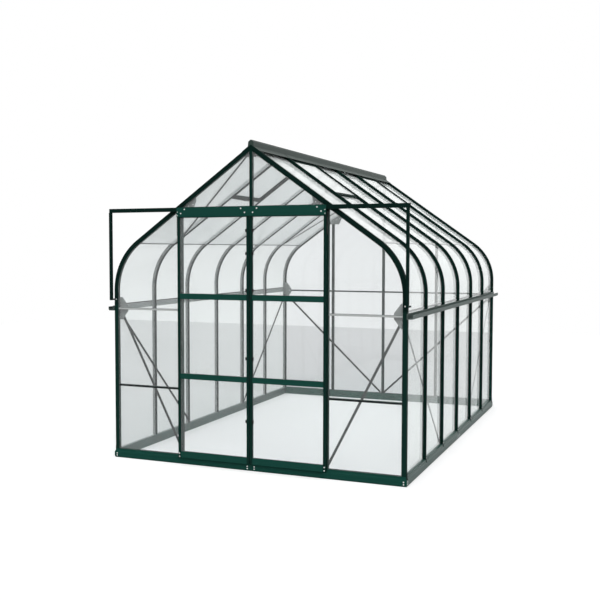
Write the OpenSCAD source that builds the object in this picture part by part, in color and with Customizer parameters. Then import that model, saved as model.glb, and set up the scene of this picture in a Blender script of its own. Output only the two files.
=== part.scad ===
// Glass greenhouse with curved eaves, a bolted metal frame and a pair of
// sliding doors. Millimetres. The origin is the centre of the base frame on
// the ground: +Z is up, the door gable faces -Y and the ridge runs along Y.

/* [Base] */
// Width of the base frame, outside to outside
base_w = 2540; // [2100:10:3200]
// Length of the base frame, outside to outside
base_l = 3780; // [2600:10:5000]
// Height of the base rail
sill_h = 75; // [65:1:100]
// Depth of the base rail, from its face to its inner side
sill_d = 46; // [42:1:60]
// How far the base rail stands out past the wall bars
sill_out = 8; // [4:1:12]

/* [Walls and roof] */
// Number of glazed bays along each side
bays = 6; // [5:1:8]
// Height at which the curve of the eaves meets the straight slope
eave_top = 1834; // [1780:1:2000]
// Outer radius of the curved eave
bend_r = 513; // [400:1:600]
// Pitch of the roof in degrees
pitch = 35.5; // [28:0.5:40]
// Height at which each wall bar is spliced to its curved bar
splice_h = 1300; // [1260:1:1320]

/* [Bars] */
// Width of a glazing bar
bar_w = 22; // [16:1:30]
// Depth of every bar, from the outer face inwards
bar_d = 34; // [32:1:42]
// Width of a transom in the gables
transom_h = 16; // [12:1:24]
// Height of the lower transom above ground
low_transom = 610; // [500:1:700]
// Height of the upper transom above ground
high_transom = 1258; // [1150:1:1290]
// Distance of the rear uprights from the middle
rear_upright_x = 620; // [500:1:640]
// Depth of the ridge beam
ridge_beam_h = 60; // [40:1:80]
// Width of a flat brace
brace_w = 20; // [14:1:26]
// Thickness of a flat brace or plate
plate_t = 4; // [3:0.5:5]

/* [Glass] */
// Thickness of the glass
glass_t = 4; // [3:0.5:6]
// Depth of the glass of the sides and roof behind the outer face of the bars
glass_in = 25; // [22:1:26]
// Depth of the glass of the gables behind the outer face of the bars
gable_glass_in = 6; // [4:1:10]
// Clearance left round each pane
glass_gap = 0.3; // [0.2:0.1:1]

/* [Ridge, gutters and vents] */
// Width of each flange of the ridge cap, measured down the slope
cap_w = 92; // [70:1:120]
// Height of the ridge cap above the outer apex of the rafters
cap_h = 37; // [25:1:45]
// Thickness of the ridge cap and gutter walls
sheet_t = 3; // [2:0.5:4]
// Height of the underside of the gutter above ground
gutter_z = 1248; // [1240:1:1290]
// Width of the gutter
gutter_w = 48; // [40:1:70]
// Height of the gutter's wall against the bars
gutter_back = 42; // [38:1:60]
// Height of the gutter's outer wall
gutter_h = 33; // [26:1:38]
// How far the gutter runs past the corner posts
gutter_over = 20; // [0:1:40]
// Distance from the ridge to the lower edge of a roof vent, down the slope
vent_end = 600; // [450:5:700]
// Width of a roof vent's stiles and rails
vent_bar = 26; // [20:1:32]
// Thickness of a roof vent's frame
vent_t = 20; // [16:1:24]
// Running clearance round a roof vent
vent_gap = 3; // [2:0.5:5]

/* [Doors] */
// Half the width of the doorway, to the inner face of a door post
door_post_in = 616; // [560:1:640]
// Width of a door post
door_post_w = 30; // [24:1:40]
// Height of the underside of the door track; a low roof lowers it
track_height = 2067; // [1900:1:2080]
// Height of the door track
track_h = 32; // [28:1:40]
// How far the door track runs past the side walls
track_over = 19; // [15:1:40]
// Overlap of a closed door past the inner face of its post
door_lap = 24; // [15:1:30]
// Thickness of a door
door_t = 24; // [20:1:30]
// Clearance between the door posts and the back of a door
door_gap = 8; // [6:1:12]
// Clearance between the track and the top of a door
door_top_gap = 6; // [5:1:10]
// Clearance between the base rail's ledge and the foot of a door
door_foot_gap = 8; // [8:1:12]
// Gap between the two closed doors
door_meet = 6; // [5:1:10]
// Width of a door's stiles
stile_w = 22; // [18:1:30]
// Height of a door's upper rails
rail_h = 43; // [36:1:52]
// Height of a door's bottom rail
kick_h = 52; // [44:1:64]
// Height of the underside of the lower middle rail
low_rail = 709; // [600:1:800]
// Height of the underside of the upper middle rail
mid_rail = 1361; // [1200:1:1500]
// Height of the foot of the stays that hold the ends of the track
stay_foot = 1336; // [1320:1:1380]
// Width of a track stay
stay_w = 22; // [16:1:26]

/* [Hidden] */

$fn = 96;
far = 5000;                               // longer than any cut needs
wall_x = base_w / 2 - sill_out;           // outer face of the side bars
wall_y = base_l / 2 - sill_out;           // outer face of the gable bars
in_x = wall_x - bar_d;                    // inner face of the side bars
in_y = wall_y - bar_d;                    // inner face of the gable bars
bend_x = wall_x - bend_r;                 // centre of the eave curve
turn = 90 - pitch;                        // angle that the eave curve turns
bend_foot = round(eave_top - bend_r * sin(turn)); // where the walls begin to bend
roof_x = bend_x + bend_r * cos(turn);     // where the curve meets the slope
roof_z = bend_foot + bend_r * sin(turn);
slope_l = roof_x / cos(pitch);            // length of the straight slope
apex_z = roof_z + roof_x * tan(pitch);    // outer apex of the rafters
bay = 2 * wall_y / bays;
vent_bays = [1, bays - 2];                // bays that hold a roof vent
ridge_half = 14;                          // half the ridge beam's width
seam = 0.15;                              // half the gap of a butt joint
seat = 0.1;                               // gap where a cut end seats on a bar
plate_y = in_y - plate_t;                 // inner face of the gable plates
// Highest track whose door posts still reach it under the roof.
track_limit = apex_z - bar_d / cos(pitch) - (door_post_in + door_post_w / 2) * tan(pitch);
track_z = min(track_height, floor(track_limit));
door_back = wall_y + door_gap;            // |y| of a door's back face
door_mid = door_back + door_t / 2;
track_d = 2 * (door_mid - wall_y);        // the track is centred on the doors
sill_ledge = 25;                          // depth of the base rail's ledge below its top
door_foot = sill_h - sill_ledge + door_foot_gap;
door_top = track_z - door_top_gap;
door_edge = door_post_in + door_lap;      // |x| of a closed door's outer edge
track_half = wall_x + track_over;         // half the length of the track
frame_green = "#1c4a3c";
trim_grey = "#6f7a76";
pane_tint = [0.85, 0.93, 0.92, 0.35];

// Places a shape on the +X or the -X side.
module on_side(s) {
  if (s > 0) children(); else mirror([1, 0, 0]) children();
}
// Places a shape in the door gable (-Y) or the rear gable (+Y).
module on_gable(s) {
  if (s > 0) children(); else mirror([0, 1, 0]) children();
}
// A box from its lowest corner to its highest corner.
module block(a, b) { translate(a) cube(b - a); }

// Width and centre of glazing bar i, counted from the door gable.
function is_end(i) = i == 0 || i == bays;
function width_of(i) = is_end(i) ? bar_d : bar_w;
function bar_y(i) = -wall_y + i * bay + (i == 0 ? bar_d / 2 : i == bays ? -bar_d / 2 : 0);
function pane_lo(i) = bar_y(i) + width_of(i) / 2 + glass_gap;
function pane_hi(i) = bar_y(i + 1) - width_of(i + 1) / 2 - glass_gap;

// A frame on the +X slope: origin where the curve ends, -x up the slope,
// z out of the roof.
module on_slope() { translate([roof_x, 0, roof_z]) rotate([0, pitch, 0]) children(); }

// A curved strip of the eave, d0 to d1 deep, with its straight foot.
module eave_strip(y0, y1, d0, d1, foot) {
  block([wall_x - d1, y0, foot], [wall_x - d0, y1, bend_foot]);
  translate([bend_x, y1, bend_foot]) rotate([90, 0, 0])
    rotate_extrude(angle = turn)
      translate([bend_r - d1, 0]) square([d1 - d0, y1 - y0]);
}

// The space inside the bars of a gable, from y0 to y1, d deep from the outside.
module gable_space(y0, y1, d) {
  r = bend_r - d;
  translate([0, y1, 0]) rotate([90, 0, 0]) {
    linear_extrude(y1 - y0) translate([d - wall_x, 0]) square([2 * (wall_x - d), bend_foot]);
    for (s = [-1, 1]) translate([s * bend_x, bend_foot, 0]) cylinder(r = r, h = y1 - y0);
    linear_extrude(y1 - y0) polygon([
      [-bend_x, bend_foot], [bend_x, bend_foot],
      [bend_x + r * cos(turn), bend_foot + r * sin(turn)],
      [0, apex_z - d / cos(pitch)],
      [-bend_x - r * cos(turn), bend_foot + r * sin(turn)]]);
  }
}

// A flat bar between two points of the plane it lies in.
module flat_bar(a, b, w, t) {
  translate([a.x, a.y, 0]) rotate([0, 0, atan2(b.y - a.y, b.x - a.x)])
    translate([0, -w / 2, 0]) cube([norm(b - a), w, t]);
}

// ---- base ----
// Outline of the base rail: x from its inner side outwards, y up.
module sill_outline() {
  face = sill_d;
  foot = face - 4;                        // the lower edge is set back
  foot_h = 7;
  back = face - sill_out;                 // outer face of the bars that stand on it
  inside = back - bar_d;
  shelf = sill_h - 9;                     // inner shelf, beside the bars
  ledge = sill_h - sill_ledge;
  polygon([[0, 0], [foot, 0], [foot, foot_h], [face, foot_h + 3], [face, ledge],
    [back, ledge + sill_out], [back, sill_h], [inside, sill_h], [inside, shelf],
    [0, shelf - 4]]);
}
// A base rail along X for a side of that length, with mitred ends, at -Y.
module sill_rail(length, reach) {
  difference() {
    translate([-length / 2, 0, 0]) rotate([90, 0, 90]) linear_extrude(length)
      translate([-reach, 0]) mirror([1, 0]) translate([-sill_d, 0]) sill_outline();
    for (s = [-1, 1])
      translate([s * (length / 2 - seam), -reach, -1]) rotate([0, 0, s > 0 ? 45 : 135])
        translate([0, -far / 2, 0]) cube([far, far, sill_h + 2]);
  }
}
module front_sill() { color(frame_green) sill_rail(base_w, base_l / 2); }
module rear_sill() { color(frame_green) rotate([0, 0, 180]) sill_rail(base_w, base_l / 2); }
module right_sill() { color(frame_green) rotate([0, 0, 90]) sill_rail(base_l, base_w / 2); }
module left_sill() { color(frame_green) rotate([0, 0, -90]) sill_rail(base_l, base_w / 2); }

// ---- walls ----
module corner_posts() {
  color(frame_green) for (sx = [-1, 1], sy = [-1, 1]) on_side(sx) on_gable(sy)
    block([in_x, in_y, sill_h], [wall_x, wall_y, splice_h]);
}
module wall_bars(s) {
  color(frame_green) on_side(s) for (i = [1 : bays - 1])
    block([in_x, bar_y(i) - bar_w / 2, sill_h], [wall_x, bar_y(i) + bar_w / 2, splice_h]);
}
module left_wall_bars() { wall_bars(-1); }
module right_wall_bars() { wall_bars(1); }

module eave_bends(s) {
  color(frame_green) on_side(s) for (i = [0 : bays])
    eave_strip(bar_y(i) - width_of(i) / 2, bar_y(i) + width_of(i) / 2, 0, bar_d, splice_h);
}
module left_eave_bends() { eave_bends(-1); }
module right_eave_bends() { eave_bends(1); }

// ---- roof ----
module rafters(s) {
  color(frame_green) on_side(s) for (i = [0 : bays]) difference() {
    on_slope() block([-slope_l - bar_d, bar_y(i) - width_of(i) / 2, -bar_d],
      [0, bar_y(i) + width_of(i) / 2, 0]);
    block([-far, -far, 0], [is_end(i) ? seam : ridge_half, far, far]);
  }
}
module left_rafters() { rafters(-1); }
module right_rafters() { rafters(1); }

module ridge_beam() {
  top = apex_z - ridge_half * tan(pitch) - 2;
  color(frame_green)
    block([-ridge_half, -plate_y, top - ridge_beam_h], [ridge_half, plate_y, top]);
}

// Ridge cap: two flanges on the slopes and a raised hollow hat on the ridge.
module ridge_cap() {
  rise = sheet_t / cos(pitch);
  edge = cap_w * cos(pitch);
  lip = edge + sheet_t * sin(pitch);      // the edge of a flange is square
  hat = 26;                               // half the hat's width at its foot
  shoulder = 22;                          // half its width at the shoulder
  bead = 9;                               // half the width of the bead on top
  top = apex_z + cap_h;
  function on_cap(x, up) = [x, apex_z - x * tan(pitch) + up];
  half = [[0, apex_z], on_cap(edge, 0), on_cap(lip, rise), on_cap(hat, rise),
    [shoulder, top - 14], [bead, top - 5], [bead, top]];
  color(trim_grey) translate([0, wall_y, 0]) rotate([90, 0, 0]) linear_extrude(2 * wall_y)
    polygon(concat(half, [for (k = [len(half) - 1 : -1 : 1]) [-half[k].x, half[k].y]]));
}

// Gutter: an open channel along the eave. Its outer wall is stepped, and lower
// than the wall against the bars.
module gutter(s) {
  t = sheet_t;
  w = gutter_w;
  h = gutter_h;
  foot = w - 8;                           // the outer wall steps in at its foot
  step = 10;
  lip = w - 6;                            // the lip turns inwards
  color(trim_grey) on_side(s) translate([wall_x, wall_y + gutter_over, gutter_z])
    rotate([90, 0, 0]) linear_extrude(2 * (wall_y + gutter_over))
      polygon([[0, 0], [foot, 0], [w, step], [w, h], [lip, h], [lip, h - t],
        [w - t, h - t], [w - t, step + 1], [foot - 1, t], [t, t],
        [t, gutter_back], [0, gutter_back]]);
}
module left_gutter() { gutter(-1); }
module right_gutter() { gutter(1); }

// ---- gables ----
behind_glass = gable_glass_in + glass_t + seat; // where the back of a gable pane is
module door_posts() {
  color(frame_green) for (s = [-1, 1]) on_side(s) intersection() {
    block([door_post_in, -wall_y, sill_h], [door_post_in + door_post_w, -in_y, far]);
    gable_space(-wall_y, -in_y, bar_d + seat);
  }
}
head_h = 69;                              // height of the door head
module door_head() {
  color(frame_green) intersection() {
    block([-door_post_in, -wall_y, track_z + track_h - head_h],
      [door_post_in, -in_y, track_z + track_h]);
    gable_space(-wall_y, -in_y, bar_d + seat);
  }
}
module front_glazing_bars() {
  color(frame_green) {
    for (s = [-1, 1], z = [low_transom, high_transom]) on_side(s)
      block([door_post_in + door_post_w, -wall_y + behind_glass, z],
        [in_x, -in_y, z + transom_h]);
    intersection() {
      block([-bar_w / 2, -wall_y, track_z + track_h], [bar_w / 2, -in_y, far]);
      gable_space(-wall_y, -in_y, bar_d + seat);
    }
  }
}
rear_x = [-rear_upright_x, 0, rear_upright_x];
module rear_uprights() {
  color(frame_green) for (x = rear_x) intersection() {
    block([x - bar_w / 2, in_y, sill_h], [x + bar_w / 2, wall_y, far]);
    gable_space(in_y, wall_y, bar_d + seat);
  }
}
// Left edges and right edges of the columns between the rear uprights.
rear_lo = concat([-in_x], [for (x = rear_x) x + bar_w / 2]);
rear_hi = concat([for (x = rear_x) x - bar_w / 2], [in_x]);
module rear_transoms() {
  color(frame_green) for (k = [0 : 3])
    block([rear_lo[k], in_y, high_transom],
      [rear_hi[k], wall_y - behind_glass, high_transom + transom_h]);
}

// ---- bracing ----
plate_reach = 80;                         // how far a corner plate reaches in
plate_half = 95;                          // half its height against the post
plate_side = 25;                          // its width against the post
plate_tip = 22;                           // half its height at the transom
plate_x = wall_x - glass_in - glass_t - 2; // outer edge of a corner plate
plate_mid = high_transom + transom_h / 2;
module corner_plate() {
  translate([plate_x, in_y, plate_mid]) rotate([90, 0, 0]) linear_extrude(plate_t)
    polygon([[0, -plate_half], [0, plate_half], [-plate_side, plate_half],
      [-plate_reach, plate_tip], [-plate_reach, -plate_tip], [-plate_side, -plate_half]]);
}
// The plate under the apex, a band with sloping upper edges.
module apex_plate() {
  inner = apex_z - bar_d / cos(pitch);    // underside of the rafters at the apex
  half = 85;
  end_h = 8;
  over = 17;                              // how far it laps the rafters
  low = inner + over - half * tan(pitch) - end_h;
  translate([0, in_y, 0]) rotate([90, 0, 0]) linear_extrude(plate_t)
    polygon([[-half, low], [half, low], [half, low + end_h], [0, inner + over],
      [-half, low + end_h]]);
}
// The plate that ties the door head and a door post to the rafter above them.
module head_plate() {
  low = track_z - 8;
  foot = door_post_in - 76;
  plate_w = 200;
  end_h = 55;
  reach = (apex_z - bar_d / 2 / cos(pitch) - low) / tan(pitch);
  top = low + plate_w * tan(pitch);
  translate([0, in_y, 0]) rotate([90, 0, 0]) linear_extrude(plate_t)
    polygon([[foot, low], [reach, low], [reach - plate_w, top],
      [reach - plate_w, top - end_h]]);
}
module gable_plates() {
  color(trim_grey) for (sy = [-1, 1]) on_gable(sy) intersection() {
    union() {
      apex_plate();
      for (sx = [-1, 1]) on_side(sx) {
        corner_plate();
        head_plate();
      }
    }
    gable_space(plate_y, in_y, glass_in + glass_t + 1);
  }
}
// Braces of the gables and of the end bays of the side walls.
module wall_braces() {
  foot_z = sill_h + 14;
  gable_in = 66;                          // their upper ends, in from the corner
  side_in = 56;
  color(trim_grey) for (sx = [-1, 1], sy = [-1, 1]) on_side(sx) on_gable(sy) {
    translate([0, plate_y, 0]) rotate([90, 0, 0])
      flat_bar([wall_x - gable_in, plate_mid - gable_in],
        [sy < 0 ? door_post_in + door_post_w / 2 : brace_w, foot_z], brace_w, plate_t);
    translate([in_x - plate_t, 0, 0]) rotate([90, 0, 90])
      flat_bar([wall_y - side_in, plate_mid - side_in],
        [wall_y - 2 * bay, foot_z], brace_w, plate_t);
  }
}
// Braces of the end bays of the roof, from the ridge to the first bar.
module roof_braces() {
  ridge_in = 100;                         // distance of the upper end from the ridge
  curve_in = 40;                          // distance of the lower end from the curve
  color(trim_grey) for (sx = [-1, 1], sy = [-1, 1]) on_side(sx) on_gable(sy) on_slope()
    translate([0, 0, -bar_d - plate_t])
      flat_bar([-slope_l + ridge_in, in_y - brace_w], [-curve_in, wall_y - bay],
        brace_w, plate_t);
}

// ---- roof vents ----
vent_lo = slope_l - cap_w - vent_gap;     // distance of the vent's top from the curve
vent_hi = slope_l - vent_end;             // distance of its lower edge from the curve
module each_vent() {
  for (s = [-1, 1], i = vent_bays) on_side(s) on_slope() {
    $lo = pane_lo(i) - glass_gap + vent_gap;
    $hi = pane_hi(i) + glass_gap - vent_gap;
    children();
  }
}
vent_top = -8;                            // top of a vent, below the bars' outer faces
vent_pane = vent_top - 6;                 // underside of its pane
sill_drop = 6;                            // how far its cross bar hangs under the bars
module vent_frames() {
  color(frame_green) each_vent() {
    for (y = [$lo, $hi - vent_bar])
      block([-vent_lo, y, vent_top - vent_t], [-vent_hi, y + vent_bar, vent_top]);
    for (x = [-vent_lo, -vent_hi - vent_bar])
      block([x, $lo + vent_bar + glass_gap, vent_top - vent_t],
        [x + vent_bar, $hi - vent_bar - glass_gap, vent_top]);
  }
}
module vent_glass() {
  color(pane_tint) each_vent()
    block([-vent_lo + vent_bar + glass_gap, $lo + vent_bar + glass_gap, vent_pane],
      [-vent_hi - vent_bar - glass_gap, $hi - vent_bar - glass_gap, vent_pane + glass_t]);
}
// The cross bar that a vent closes on, between two glazing bars.
module vent_sills() {
  color(frame_green) each_vent()
    block([-vent_hi - vent_bar, $lo - vent_gap, -bar_d - sill_drop],
      [-vent_hi, $hi + vent_gap, vent_top - vent_t - 2 * seam]);
}

// ---- glass ----
pane_foot = sill_h + glass_gap;
module wall_glass(s) {
  color(pane_tint) on_side(s) for (i = [0 : bays - 1])
    block([wall_x - glass_in - glass_t, pane_lo(i), pane_foot],
      [wall_x - glass_in, pane_hi(i), splice_h - glass_gap]);
}
module left_wall_glass() { wall_glass(-1); }
module right_wall_glass() { wall_glass(1); }
module bend_glass(s) {
  color(pane_tint) on_side(s) for (i = [0 : bays - 1])
    eave_strip(pane_lo(i), pane_hi(i), glass_in, glass_in + glass_t, splice_h + glass_gap);
}
module left_bend_glass() { bend_glass(-1); }
module right_bend_glass() { bend_glass(1); }
function has_vent(i) = len(search(i, vent_bays)) > 0;
// Distance from the ridge at which a roof pane clears the ridge beam.
pane_end = (ridge_half + (glass_in + glass_t) * sin(pitch)) / cos(pitch) + 1;
module roof_glass(s) {
  color(pane_tint) on_side(s) on_slope() for (i = [0 : bays - 1])
    block([has_vent(i) ? -vent_hi + glass_gap : -slope_l + pane_end, pane_lo(i),
      -glass_in - glass_t], [-glass_gap, pane_hi(i), -glass_in]);
}
module left_roof_glass() { roof_glass(-1); }
module right_roof_glass() { roof_glass(1); }

// Gable panes: columns lo..hi between heights z0..z1, cut to the gable's shape.
module gable_pane(y, lo, hi, z0, z1) {
  intersection() {
    block([lo + glass_gap, y, z0 + glass_gap], [hi - glass_gap, y + glass_t, z1 - glass_gap]);
    gable_space(y, y + glass_t, bar_d + glass_gap);
  }
}
// The panes of a gable meet in front of the middle of a transom.
low_joint = low_transom + transom_h / 2;
high_joint = high_transom + transom_h / 2;
module front_glass() {
  y = -wall_y + gable_glass_in;
  post = door_post_in + door_post_w;
  color(pane_tint) for (s = [-1, 1]) on_side(s) {
    gable_pane(y, post, in_x, sill_h, low_joint);
    gable_pane(y, post, in_x, low_joint, high_joint);
    gable_pane(y, post, in_x, high_joint, far);
    gable_pane(y, bar_w / 2, door_post_in, track_z + track_h, far);
  }
}
module rear_glass() {
  y = wall_y - gable_glass_in - glass_t;
  color(pane_tint) for (k = [0 : 3]) {
    gable_pane(y, rear_lo[k], rear_hi[k], sill_h, high_joint);
    gable_pane(y, rear_lo[k], rear_hi[k], high_joint, far);
  }
}

// ---- doors ----
module door_track() {
  half = track_d / 2;
  slot = 7;                               // half the slot that the hangers run in
  t = sheet_t;
  color(frame_green) translate([-track_half, -door_mid - seat, track_z]) rotate([90, 0, 90])
    linear_extrude(2 * track_half)
      polygon([[-half, 0], [-slot, 0], [-slot, t], [t - half, t], [t - half, track_h - t],
        [half - t, track_h - t], [half - t, t], [slot, t], [slot, 0], [half, 0],
        [half, track_h], [-half, track_h]]);
}
fascia_t = 3;                             // how far the cover plate stands out
stay_lap = 6;                             // a stay stands this far in front of the track
// Cover plate on the track, over the gap above the closed doors.
module head_fascia() {
  below = 43;
  front = -wall_y - track_d;
  color(frame_green)
    block([-door_edge, front - fascia_t, track_z - below],
      [door_edge, front - 2 * seat, track_z + track_h]);
}
// Stays from the ends of the track down to the corner posts.
module track_stays() {
  front = -wall_y - track_d - stay_lap;
  arm_h = 12;
  color(frame_green) for (s = [-1, 1]) on_side(s) {
    block([track_half - stay_w, front, stay_foot], [track_half, front + stay_w, track_z]);
    block([wall_x, front, stay_foot], [track_half, -in_y, stay_foot + arm_h]);
  }
}
inner_x = door_meet / 2;
rail_lo = [door_foot, low_rail, mid_rail, door_top - rail_h];
rail_hi = [door_foot + kick_h, low_rail + rail_h, mid_rail + rail_h, door_top];
module door_stiles(s) {
  color(frame_green) on_side(s) for (x = [inner_x, door_edge - stile_w])
    block([x, -door_back - door_t, door_foot], [x + stile_w, -door_back, door_top]);
}
module door_rails(s) {
  color(frame_green) on_side(s) for (k = [0 : 3])
    block([inner_x + stile_w + glass_gap, -door_back - door_t, rail_lo[k]],
      [door_edge - stile_w - glass_gap, -door_back, rail_hi[k]]);
}
module door_glass(s) {
  color(pane_tint) on_side(s) for (k = [0 : 2])
    block([inner_x + stile_w + glass_gap, -door_mid - glass_t / 2, rail_hi[k] + glass_gap],
      [door_edge - stile_w - glass_gap, -door_mid + glass_t / 2, rail_lo[k + 1] - glass_gap]);
}
// Hangers: a tongue through the slot of the track, carried by a roller.
module door_hangers(s) {
  hanger_in = 90;                         // distance from the door's edges
  half_w = 20;
  half_t = 2;
  roller_r = 8;
  roller_w = 32;
  roller_z = track_z + sheet_t + 0.3 + roller_r;
  color("silver") on_side(s) for (x = [inner_x + hanger_in, door_edge - hanger_in]) {
    block([x - half_w, -door_mid - half_t, door_top],
      [x + half_w, -door_mid + half_t, roller_z + roller_r - 2]);
    translate([x, -door_mid + roller_w / 2, roller_z]) rotate([90, 0, 0])
      cylinder(r = roller_r, h = roller_w);
  }
}
module left_door_stiles() { door_stiles(-1); }
module left_door_rails() { door_rails(-1); }
module left_door_glass() { door_glass(-1); }
module left_door_hangers() { door_hangers(-1); }
module right_door_stiles() { door_stiles(1); }
module right_door_rails() { door_rails(1); }
module right_door_glass() { door_glass(1); }
module right_door_hangers() { door_hangers(1); }

front_sill();
rear_sill();
left_sill();
right_sill();
corner_posts();
left_wall_bars();
right_wall_bars();
left_eave_bends();
right_eave_bends();
left_rafters();
right_rafters();
ridge_beam();
ridge_cap();
left_gutter();
right_gutter();
door_posts();
door_head();
front_glazing_bars();
rear_uprights();
rear_transoms();
door_track();
head_fascia();
track_stays();
wall_braces();
roof_braces();
gable_plates();
vent_sills();
vent_frames();
vent_glass();
left_wall_glass();
right_wall_glass();
left_bend_glass();
right_bend_glass();
left_roof_glass();
right_roof_glass();
front_glass();
rear_glass();
left_door_stiles();
left_door_rails();
left_door_glass();
left_door_hangers();
right_door_stiles();
right_door_rails();
right_door_glass();
right_door_hangers();
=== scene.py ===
# %% [markdown]
# # A glass greenhouse with curved eaves
#
# This notebook dresses a greenhouse frame. The frame comes as finished parts:
# base rails, bars, panes, gutters, ridge and two sliding doors. The cells below
# give every part its finish, then add the small things a fitter adds on site:
# bolts, glazing strips, seals, boots, stays and clips. All lengths are metres.

# %% Load the frame
import math

import bmesh
import bpy
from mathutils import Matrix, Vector


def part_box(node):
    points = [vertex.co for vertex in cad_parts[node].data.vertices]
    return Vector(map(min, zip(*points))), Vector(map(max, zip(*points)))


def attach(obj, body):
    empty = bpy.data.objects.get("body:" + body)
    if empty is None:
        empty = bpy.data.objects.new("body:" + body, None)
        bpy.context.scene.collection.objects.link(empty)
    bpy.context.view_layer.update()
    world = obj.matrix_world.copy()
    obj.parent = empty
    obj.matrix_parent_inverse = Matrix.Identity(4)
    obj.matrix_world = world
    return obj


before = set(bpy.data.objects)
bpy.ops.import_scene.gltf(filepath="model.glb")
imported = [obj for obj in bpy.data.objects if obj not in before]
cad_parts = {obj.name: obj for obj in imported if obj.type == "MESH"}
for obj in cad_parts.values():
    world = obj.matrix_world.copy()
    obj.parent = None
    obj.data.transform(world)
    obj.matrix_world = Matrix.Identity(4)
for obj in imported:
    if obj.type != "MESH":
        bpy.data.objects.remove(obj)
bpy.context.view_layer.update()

# %% [markdown]
# ## Measuring the frame
#
# Every added piece has to sit on the real bars, so the first thing is to take
# measurements, as a fitter does with a tape. The outside of a side bar goes
# straight up, turns through a curve and runs up the slope to the ridge. The
# pitch of the roof gives the rest: where the curve starts, its radius, and
# where it meets the slope. The panes lie at a fixed depth in the bars: deeper
# on the long sides than in the gables.

# %% Measure the outline
PITCH = math.radians(35.5)
low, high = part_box("right_wall_bars")
WALL_X, BAR_DEPTH, SPLICE = high.x, high.x - low.x, high.z
WALL_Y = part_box("rear_uprights")[1].y
SILL_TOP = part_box("front_sill")[1].z
SILL_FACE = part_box("right_sill")[1].x
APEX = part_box("right_rafters")[1].z
CURVE_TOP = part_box("right_eave_bends")[1].z
CURVE_X = (APEX - CURVE_TOP) / math.tan(PITCH)
TURN = math.pi / 2 - PITCH
RADIUS = (WALL_X - CURVE_X) / (1 - math.cos(TURN))
CURVE_FOOT = CURVE_TOP - RADIUS * math.sin(TURN)
SLOPE = CURVE_X / math.cos(PITCH)
GLASS_IN, GABLE_GLASS_IN, GLASS_T = 0.025, 0.006, 0.004
print(f"curve: radius {RADIUS:.3f}, foot {CURVE_FOOT:.3f}, slope length {SLOPE:.3f}")

# %% [markdown]
# The side walls are six equal bays. The bars at the two ends are wider than
# those between, because they also close the gables. The second bay from each
# end has a roof vent on both slopes.

# %% Find the bays
BAYS, BAR, END_BAR = 6, 0.022, 0.034
step = 2 * WALL_Y / BAYS
bays = []
for i in range(BAYS):
    start = -WALL_Y + i * step + (END_BAR if i == 0 else BAR / 2)
    stop = -WALL_Y + (i + 1) * step - (END_BAR if i == BAYS - 1 else BAR / 2)
    bays.append((start, stop))
VENT_BAYS = (1, BAYS - 2)
print("clear width of each bay:", [round(b - a, 3) for a, b in bays])

# %% [markdown]
# ## Small tools
#
# Most of a greenhouse is cut from long strips, so the tools here are few. One
# pushes a flat shape along a line, one makes a block, one makes a round pin, and
# one makes a bolt head on its washer. A washer is a little wider than its bolt
# and a third of its height, and the head above it narrows in three steps.

# %% Tools that make shapes
def add_prism(bm, shape, along):
    """A solid with that flat shape, pushed along a vector."""
    near = [bm.verts.new(p) for p in shape]
    far = [bm.verts.new(Vector(p) + Vector(along)) for p in shape]
    bm.faces.new(near)
    bm.faces.new(list(reversed(far)))
    for k in range(len(near)):
        n = (k + 1) % len(near)
        bm.faces.new((near[k], near[n], far[n], far[k]))


def add_block(bm, a, b):
    """A block from one corner to the opposite corner."""
    (x0, y0, z0), (x1, y1, z1) = a, b
    foot = [(x0, y0, z0), (x1, y0, z0), (x1, y1, z0), (x0, y1, z0)]
    add_prism(bm, foot, (0, 0, z1 - z0))


def ring(centre, axis, radius, sides):
    """Points round a centre, square to an axis."""
    axis = Vector(axis).normalized()
    across = axis.orthogonal().normalized()
    other = axis.cross(across)
    points = []
    for k in range(sides):
        t = 2 * math.pi * k / sides
        spoke = math.cos(t) * across + math.sin(t) * other
        points.append(Vector(centre) + radius * spoke)
    return points


def add_pin(bm, a, b, radius, sides=12):
    """A round pin between two points."""
    a, b = Vector(a), Vector(b)
    add_prism(bm, ring(a, b - a, radius, sides), b - a)


HEAD_SIDES, WASHER_SIDES = 12, 16
LOW_HEIGHT, SMALL_RADIUS, TINY_RADIUS = 0.0025, 0.0035, 0.0025


def add_bolt(bm, at, out, radius=0.004, height=0.003):
    """A low domed bolt head on a washer, at a point of a face that looks out."""
    at, out = Vector(at), Vector(out).normalized()
    washer = height * 0.3
    add_prism(bm, ring(at, out, radius * 1.35, WASHER_SIDES), out * washer)
    rings = []
    for up, share in ((washer, 1.0), (height * 0.75, 0.9), (height, 0.5)):
        points = ring(at + out * up, out, radius * share, HEAD_SIDES)
        rings.append([bm.verts.new(p) for p in points])
    for lower, upper in zip(rings, rings[1:]):
        for k in range(HEAD_SIDES):
            n = (k + 1) % HEAD_SIDES
            bm.faces.new((lower[k], lower[n], upper[n], upper[k]))
    bm.faces.new(rings[-1])
    bm.faces.new(list(reversed(rings[0])))


print("a bolt head has", HEAD_SIDES, "sides, its washer", WASHER_SIDES)

# %% [markdown]
# Every piece is made in the same way. A function fills an empty shape, the faces
# are turned outward, and the piece gets a finish and a body of the frame to
# travel with. One tool does this, so a later cell only says what is new.

# %% Tool that makes a named piece
pieces_made = []


def piece(name, fill, material, body="frame"):
    """A named piece filled by a function, in one finish, riding on a body."""
    bm = bmesh.new()
    fill(bm)
    bmesh.ops.recalc_face_normals(bm, faces=bm.faces)
    mesh = bpy.data.meshes.new(name)
    bm.to_mesh(mesh)
    bm.free()
    mesh.materials.append(material)
    made = bpy.data.objects.new(name, mesh)
    bpy.context.scene.collection.objects.link(made)
    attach(made, body)
    pieces_made.append(made)
    print(f"{name}: {len(mesh.polygons)} faces on {body}")


print("pieces so far:", len(pieces_made))

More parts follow.
